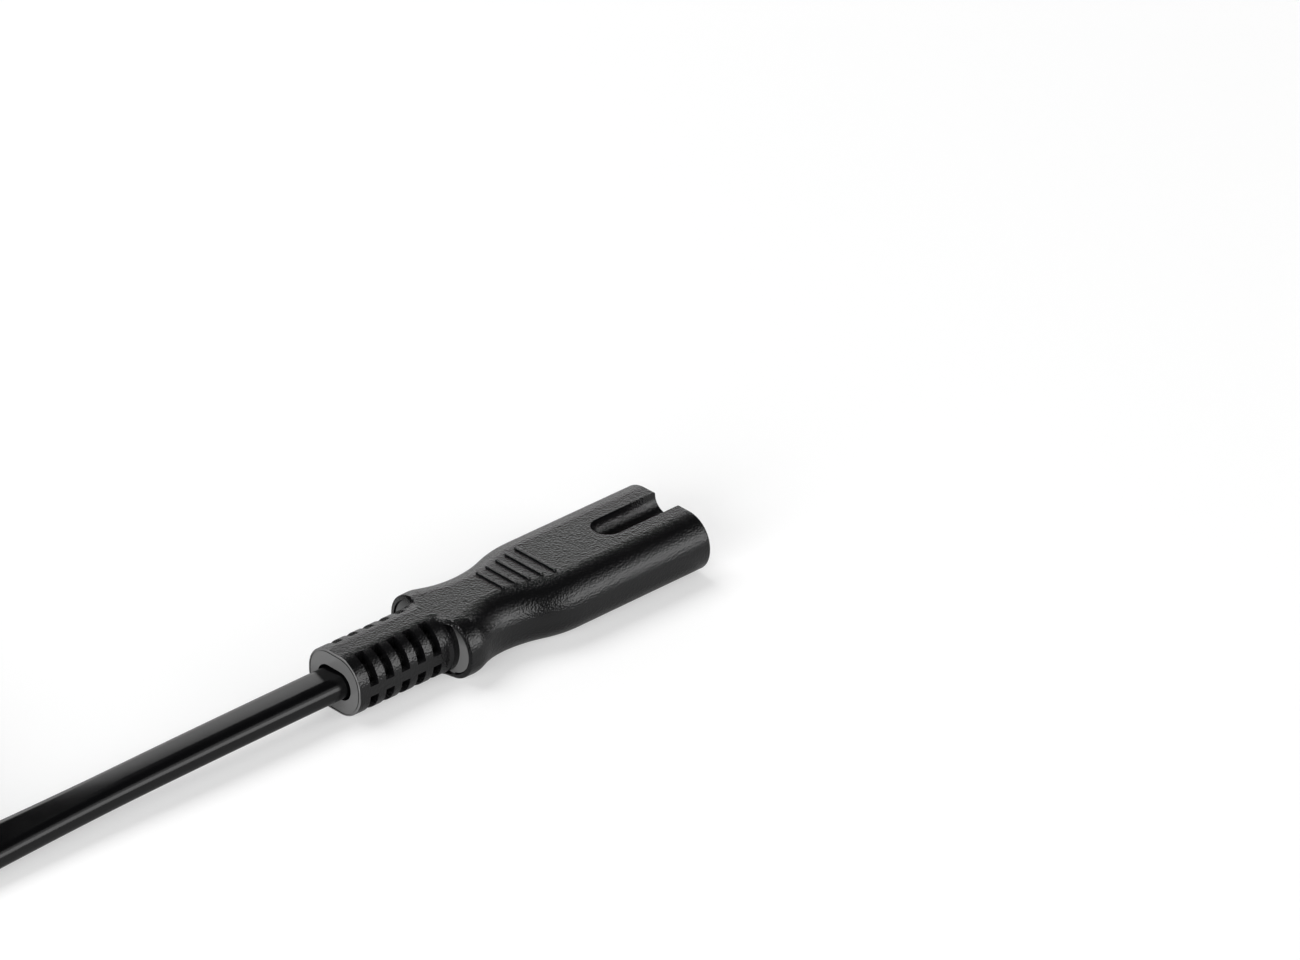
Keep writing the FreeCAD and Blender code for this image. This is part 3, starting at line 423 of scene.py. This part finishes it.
def hank_turns():
    """Control points of the five turns: three below from the outside in, two above and back out."""
    low, high = (LOW, LOW), (HIGH, HIGH)
    turns = [
        # lane out, far end, lane back, near end, and the heights out, back and at the near end
        (OUTER, [OUTER] * 4, OUTER, OUTER_TO_MIDDLE, low, low, [LOW] * 4),
        (MIDDLE, [MIDDLE] * 4, MIDDLE, MIDDLE_TO_INNER, low, low, [LOW] * 4),
        (INNER, [INNER] * 4, INNER, [INNER] * 4, low, (LOW, CLIMB), [HIGH] * 4),
        (INNER, INNER_TO_MIDDLE, MIDDLE, [MIDDLE] * 4, high, high, [HIGH] * 4),
        (MIDDLE, MIDDLE_TO_OUTER, OUTER, [OUTER] * 4, high, high, [HIGH, HIGH, LEAVE]),
    ]
    points = []
    for lane_out, far_radii, lane_back, near_radii, levels_out, levels_back, levels_near in turns:
        points += straight_side(-1, lane_out, levels_out, -1)
        points += end_turn(HANK_FAR, -1, far_radii, [levels_out[1]] * 4)
        points += straight_side(1, lane_back, levels_back, 1)
        points += end_turn(HANK_NEAR, 1, near_radii, levels_near)
    return points


def lay_cord():
    """The one flat cord, from the connector through its hank to the plug."""
    turns = hank_turns()
    route = LEAD_ROUTE + turns + TAIL_ROUTE
    data = bpy.data.curves.new("flat_cord", "CURVE")
    data.dimensions = "3D"
    spline = data.splines.new("NURBS")
    spline.points.add(len(route) - 1)
    for index, (point, place) in enumerate(zip(spline.points, route, strict=True)):
        point.co = (*place, 1.0)
        if index < len(LEAD_ROUTE) - 1:
            point.tilt = FLAT
        else:
            # on its edge through the hank, and flat again along the tail
            past_turns = max(0, index - len(LEAD_ROUTE) - len(turns))
            point.tilt = FLAT * min(past_turns, TWISTING_POINTS) / TWISTING_POINTS
    spline.order_u = 3
    spline.use_endpoint_u = True
    spline.resolution_u = 12
    data.twist_mode = "Z_UP"
    data.extrude = HALF_FLAT
    data.bevel_depth = ROUND_SIDE
    data.bevel_resolution = 12
    data.use_fill_caps = True
    cord = add_object("flat_cord", data)
    paint(cord, "cord_sheath")
    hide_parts("cord_lead", "cord_hank", "cord_tail")
    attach(cord, "root")
    return cord


# The strap

# its path as it is seen from its end, in millimetres from the middle of the hank: it starts on top,
# goes once round the turns, and rises by a step on to its own beginning
STRAP_PATH = [
    (8.0, 11.8),
    (-21.5, 11.8),
    (-21.5, 0.8),
    (21.5, 0.8),
    (21.5, 11.8),
    (10.6, 11.8),
    (8.6, 12.65),
    (-15.5, 12.65),
]
STRAP_X, STRAP_WIDTH, STRAP_THICK = -0.152, 10.0 * MM, 0.8 * MM
# how round it goes over the hank's corners and over the step, and how round its free end is cut
CORNER_ROUND, STEP_ROUND, TIP_ROUND = 1.7 * MM, 0.8 * MM, 3.6 * MM


def folds(shape, nearest, furthest):
    """The strap's fold lines whose Y, from the middle of the hank, is between these."""
    return [
        edge
        for edge in shape.edges
        if len(edge.link_faces) == 2
        and abs(edge.verts[0].co.x - edge.verts[1].co.x) > STRAP_WIDTH / 2
        and nearest < edge.verts[0].co.y - HANK_Y < furthest
    ]


def rounded(shape, parts, radius, affect, segments):
    """Rounds off edges or corners."""
    bmesh.ops.bevel(
        shape, geom=parts, offset=radius, affect=affect, segments=segments, profile=0.5, material=-1
    )


def wrap_strap():
    """The strap that holds the hank, with its free end pressed down on top and rounded off."""
    shape = bmesh.new()
    near_x = STRAP_X - STRAP_WIDTH / 2
    near_edge = [shape.verts.new((near_x, HANK_Y + y * MM, z * MM)) for y, z in STRAP_PATH]
    line = [shape.edges.new(pair) for pair in zip(near_edge, near_edge[1:])]
    grown = bmesh.ops.extrude_edge_only(shape, edges=line)["geom"]
    far_edge = [item for item in grown if isinstance(item, bmesh.types.BMVert)]
    bmesh.ops.translate(shape, vec=(STRAP_WIDTH, 0.0, 0.0), verts=far_edge)
    corners = folds(shape, -25 * MM, -15 * MM) + folds(shape, 15 * MM, 25 * MM)
    rounded(shape, corners, CORNER_ROUND, "EDGES", 8)
    rounded(shape, folds(shape, 8 * MM, 11 * MM), STEP_ROUND, "EDGES", 3)
    tip = [vert for vert in shape.verts if vert.co.z > 12.6 * MM and vert.co.y < HANK_Y - 15.4 * MM]
    rounded(shape, tip, TIP_ROUND, "VERTICES", 8)
    bmesh.ops.recalc_face_normals(shape, faces=shape.faces)
    # the faces look outwards, and the thickness grows that way
    lowest = min(shape.faces, key=lambda face: face.calc_center_median().z)
    if lowest.normal.z > 0:
        bmesh.ops.reverse_faces(shape, faces=shape.faces)
    bmesh.ops.solidify(shape, geom=shape.faces[:], thickness=-STRAP_THICK)
    strap = add_object("hank_strap", mesh_from("hank_strap", shape))
    rounding = strap.modifiers.new("soft_edges", "BEVEL")
    rounding.width, rounding.segments, rounding.limit_method = 0.2 * MM, 3, "ANGLE"
    paint(strap, "tie_strap")
    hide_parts("cord_tie")
    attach(strap, "root")
    return strap


cord = lay_cord()
strap = wrap_strap()

for part in frame["record"]["subparts"]:
    if not NODES[part["node"]].hide_render:
        paint(NODES[part["node"]], part["material_slot"])


# Table top, lamps and camera

# how much of the table's white is added where the eye sees it, and where it is seen in a reflection
SEEN_WHITE, MIRRORED_WHITE = 0.4, 0.05

SOFTBOXES = [
    # name, place, what it aims at, width, height, watts
    # a low lit backdrop behind, whose upper edge lies where the flat top mirrors it
    ("back_softbox", (0.64, 0.72, 0.32), (0.0, 0.0, 0.05), 1.2, 0.50, 3.05),
    # a white wall beside the nose, brightest near the table: the band along its rounded side
    ("side_wall", (0.45, -0.665, 0.20), (0.0, 0.0, 0.03), 0.66, 0.32, 2.5),
    ("side_wall_above", (0.49, -0.58, 0.45), (0.0, 0.0, 0.0), 0.66, 0.3, 0.8),
    # a fill from the cord's side, which lights the faces that look back along the cord
    ("rear_fill", (-0.80, -0.35, 0.30), (0.0, 0.0, 0.0), 0.7, 0.5, 9.0),
    # the key light, high on the far side
    ("high_softbox", (-0.1, 0.52, 0.98), (0.0, 0.0, 0.0), 0.9, 0.7, 8.5),
]


def matt_white_laminate():
    """Matt white laminate, part of whose white is added only for the eye and for reflections."""
    material, tree, output = new_material("matt_white_laminate")
    seen = add_node(tree, "ShaderNodeLightPath").outputs
    mirrored = maths(tree, "MAXIMUM", seen["Is Glossy Ray"], seen["Is Transmission Ray"])
    by_mirrors = maths(tree, "MULTIPLY", mirrored, MIRRORED_WHITE)
    by_eye = maths(tree, "MULTIPLY", seen["Is Camera Ray"], SEEN_WHITE)
    added = maths(tree, "MAXIMUM", by_eye, by_mirrors)
    # whiter to the eye than in the light that it throws back at the connector's sides
    tint = blend(tree, seen["Is Camera Ray"], "#c2c2c2", "#ffffff")
    matt = add_node(tree, "ShaderNodeBsdfDiffuse", sockets={"Color": tint}).outputs["BSDF"]
    plain_white = {"Color": (1, 1, 1, 1), "Strength": 1.0}
    white = add_node(tree, "ShaderNodeEmission", sockets=plain_white).outputs["Emission"]
    mixed = add_node(tree, "ShaderNodeMixShader", sockets={0: added, 1: matt, 2: white})
    tree.links.new(mixed.outputs["Shader"], output.inputs["Surface"])
    return material


def lay_table():
    """The wide table top that the lead lies on."""
    shape = bmesh.new()
    bmesh.ops.create_grid(shape, x_segments=1, y_segments=1, size=4.0)
    table = add_object("table_top", mesh_from("table_top", shape))
    table.data.materials.append(matt_white_laminate())


def hang_softbox(name, place, aim, width, height, watts):
    """A rectangular lamp turned towards a point."""
    data = bpy.data.lights.new(name, "AREA")
    data.shape = "RECTANGLE"
    data.size, data.size_y = width, height
    data.energy = watts
    lamp = add_object(name, data)
    lamp.location = place
    lamp.rotation_euler = (Vector(aim) - Vector(place)).to_track_quat("-Z", "Y").to_euler()


def dim_room():
    """The little light that the room round the table gives."""
    world = bpy.data.worlds.new("studio_room")
    world.use_nodes = True
    tree = world.node_tree
    tree.nodes.clear()
    room = add_node(tree, "ShaderNodeBackground", sockets={"Color": (1, 1, 1, 1), "Strength": 0.02})
    add_node(tree, "ShaderNodeOutputWorld", sockets={"Surface": room.outputs["Background"]})
    bpy.context.scene.world = world


def place_camera():
    """The camera, as it was fitted to the photograph."""
    camera = add_object("camera", bpy.data.cameras.new("camera"))
    camera.location = (-0.47925, -0.5390, 0.4323)
    camera.rotation_euler = (math.radians(60.309), 0.0, math.radians(-43.054))
    camera.data.lens = 190.8
    camera.data.sensor_width = 36.0
    camera.data.clip_start, camera.data.clip_end = 0.05, 20.0
    bpy.context.scene.camera = camera


lay_table()
for row in SOFTBOXES:
    hang_softbox(*row)
dim_room()
place_camera()
bpy.context.scene.view_settings.view_transform = "Standard"
